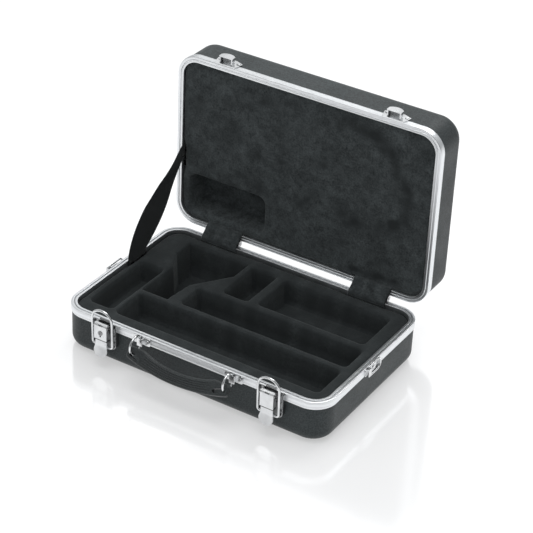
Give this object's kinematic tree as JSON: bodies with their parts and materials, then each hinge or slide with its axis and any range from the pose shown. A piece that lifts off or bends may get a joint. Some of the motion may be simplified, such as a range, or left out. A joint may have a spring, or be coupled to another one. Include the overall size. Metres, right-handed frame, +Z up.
{
  "type": "clarinet case",
  "caption": "Hard instrument case with aluminium-framed moulded shells, hinged lid, draw latches, wire-ring carrying handle, side rings and a plush tray with fitted pockets.",
  "frame": {"origin": "on the floor under the middle of the base", "axes": "+X along the case to the right seen from the latches, -Y out of the latch side, +Z up"},
  "size_m": [0.3692, 0.3245, 0.3036],
  "materials": {
    "shell": "black moulded plastic with a fine pebbled grain",
    "valance": "satin extruded aluminium",
    "foam": "rigid foam insert, hidden under the plush",
    "plush": "short black plush pile",
    "webbing": "black woven webbing",
    "grip": "black moulded grip, satin",
    "wire_chrome": "bright plated wire",
    "latch_chrome": "bright nickel plate",
    "lever_satin": "satin nickel plate",
    "bracket_steel": "nickel plated pressed steel",
    "hinge_steel": "nickel plated steel",
    "pin_steel": "bright steel pin",
    "rivet": "nickel plated rivets"
  },
  "bodies": {
    "base": {"base_shell": "shell", "base_valance": "valance", "tray_foam": "foam", "tray_lining": "plush", "stay_strap": "webbing", "hinge_cover_left": "plush", "hinge_cover_right": "plush", "hinge_pins": "pin_steel", "hinge_base_leaf_left": "hinge_steel", "hinge_base_leaf_right": "hinge_steel", "hinge_rivets_base": "rivet", "latch_plate_left": "latch_chrome", "latch_plate_right": "latch_chrome", "latch_pins": "pin_steel", "latch_rivets": "rivet", "handle_bracket_left": "bracket_steel", "handle_bracket_right": "bracket_steel", "handle_bracket_rivets": "rivet", "side_bracket_left": "bracket_steel", "side_bracket_right": "bracket_steel", "side_bracket_rivets": "rivet", "strap_rivets_base": "rivet"},
    "lid": {"lid_shell": "shell", "lid_valance": "valance", "lid_foam": "foam", "lid_lining": "plush", "hinge_lid_leaf_left": "hinge_steel", "hinge_lid_leaf_right": "hinge_steel", "hinge_rivets_lid": "rivet", "catch_left": "latch_chrome", "catch_right": "latch_chrome", "catch_rivets": "rivet", "strap_rivets_lid": "rivet"},
    "lever_left": {"latch_lever_left": "lever_satin"},
    "lever_right": {"latch_lever_right": "lever_satin"},
    "lock": {"lock_plug": "latch_chrome"},
    "bail_left": {"latch_bail_left": "wire_chrome"},
    "bail_right": {"latch_bail_right": "wire_chrome"},
    "handle": {"handle_grip": "grip"},
    "ring_left": {"handle_ring_left": "wire_chrome"},
    "ring_right": {"handle_ring_right": "wire_chrome"},
    "side_ring_left": {"side_ring_left": "wire_chrome"},
    "side_ring_right": {"side_ring_right": "wire_chrome"}
  },
  "joints": [
    {"name": "lid_hinge", "type": "hinge", "parent": "base", "child": "lid", "pos_m": [0, 0.1205, 0.05715], "axis": [1, 0, 0], "range_deg": [0, 90], "deforming": ["stay_strap", "hinge_cover_left", "hinge_cover_right"]},
    {"name": "lever_left_lift", "type": "hinge", "parent": "base", "child": "lever_left", "pos_m": [-0.1142, -0.125, 0.056], "axis": [-1, 0, 0], "range_deg": [0, 66]},
    {"name": "lever_right_lift", "type": "hinge", "parent": "base", "child": "lever_right", "pos_m": [0.1142, -0.125, 0.056], "axis": [-1, 0, 0], "range_deg": [0, 66]},
    {"name": "bail_left_swing", "type": "hinge", "parent": "lever_left", "child": "bail_left", "pos_m": [-0.1142, -0.1235, 0.028], "axis": [1, 0, 0], "range_deg": [0, 100]},
    {"name": "bail_right_swing", "type": "hinge", "parent": "lever_right", "child": "bail_right", "pos_m": [0.1142, -0.1235, 0.028], "axis": [1, 0, 0], "range_deg": [0, 100]},
    {"name": "lock_turn", "type": "hinge", "parent": "lever_left", "child": "lock", "pos_m": [-0.1142, -0.1272, 0.0475], "axis": [0, -1, 0], "range_deg": [0, 90]},
    {"name": "handle_swing", "type": "hinge", "parent": "base", "child": "handle", "pos_m": [0, -0.1289, 0.0514], "axis": [-1, 0, 0], "range_deg": [-55, 100]},
    {"name": "ring_left_swing", "type": "hinge", "parent": "base", "child": "ring_left", "pos_m": [-0.0635, -0.1289, 0.0514], "axis": [-1, 0, 0], "range_deg": [-55, 100]},
    {"name": "ring_right_swing", "type": "hinge", "parent": "base", "child": "ring_right", "pos_m": [0.0635, -0.1289, 0.0514], "axis": [-1, 0, 0], "range_deg": [-55, 100]},
    {"name": "side_ring_left_swing", "type": "hinge", "parent": "base", "child": "side_ring_left", "pos_m": [-0.1818, -0.0185, 0.0514], "axis": [0, 0, 1], "range_deg": [0, 178]},
    {"name": "side_ring_right_swing", "type": "hinge", "parent": "base", "child": "side_ring_right", "pos_m": [0.1818, -0.0185, 0.0514], "axis": [0, 0, -1], "range_deg": [0, 178]}
  ],
  "couplings": [
    {"joint": "ring_left_swing", "follows": "handle_swing", "ratio": 1},
    {"joint": "ring_right_swing", "follows": "handle_swing", "ratio": 1}
  ]
}
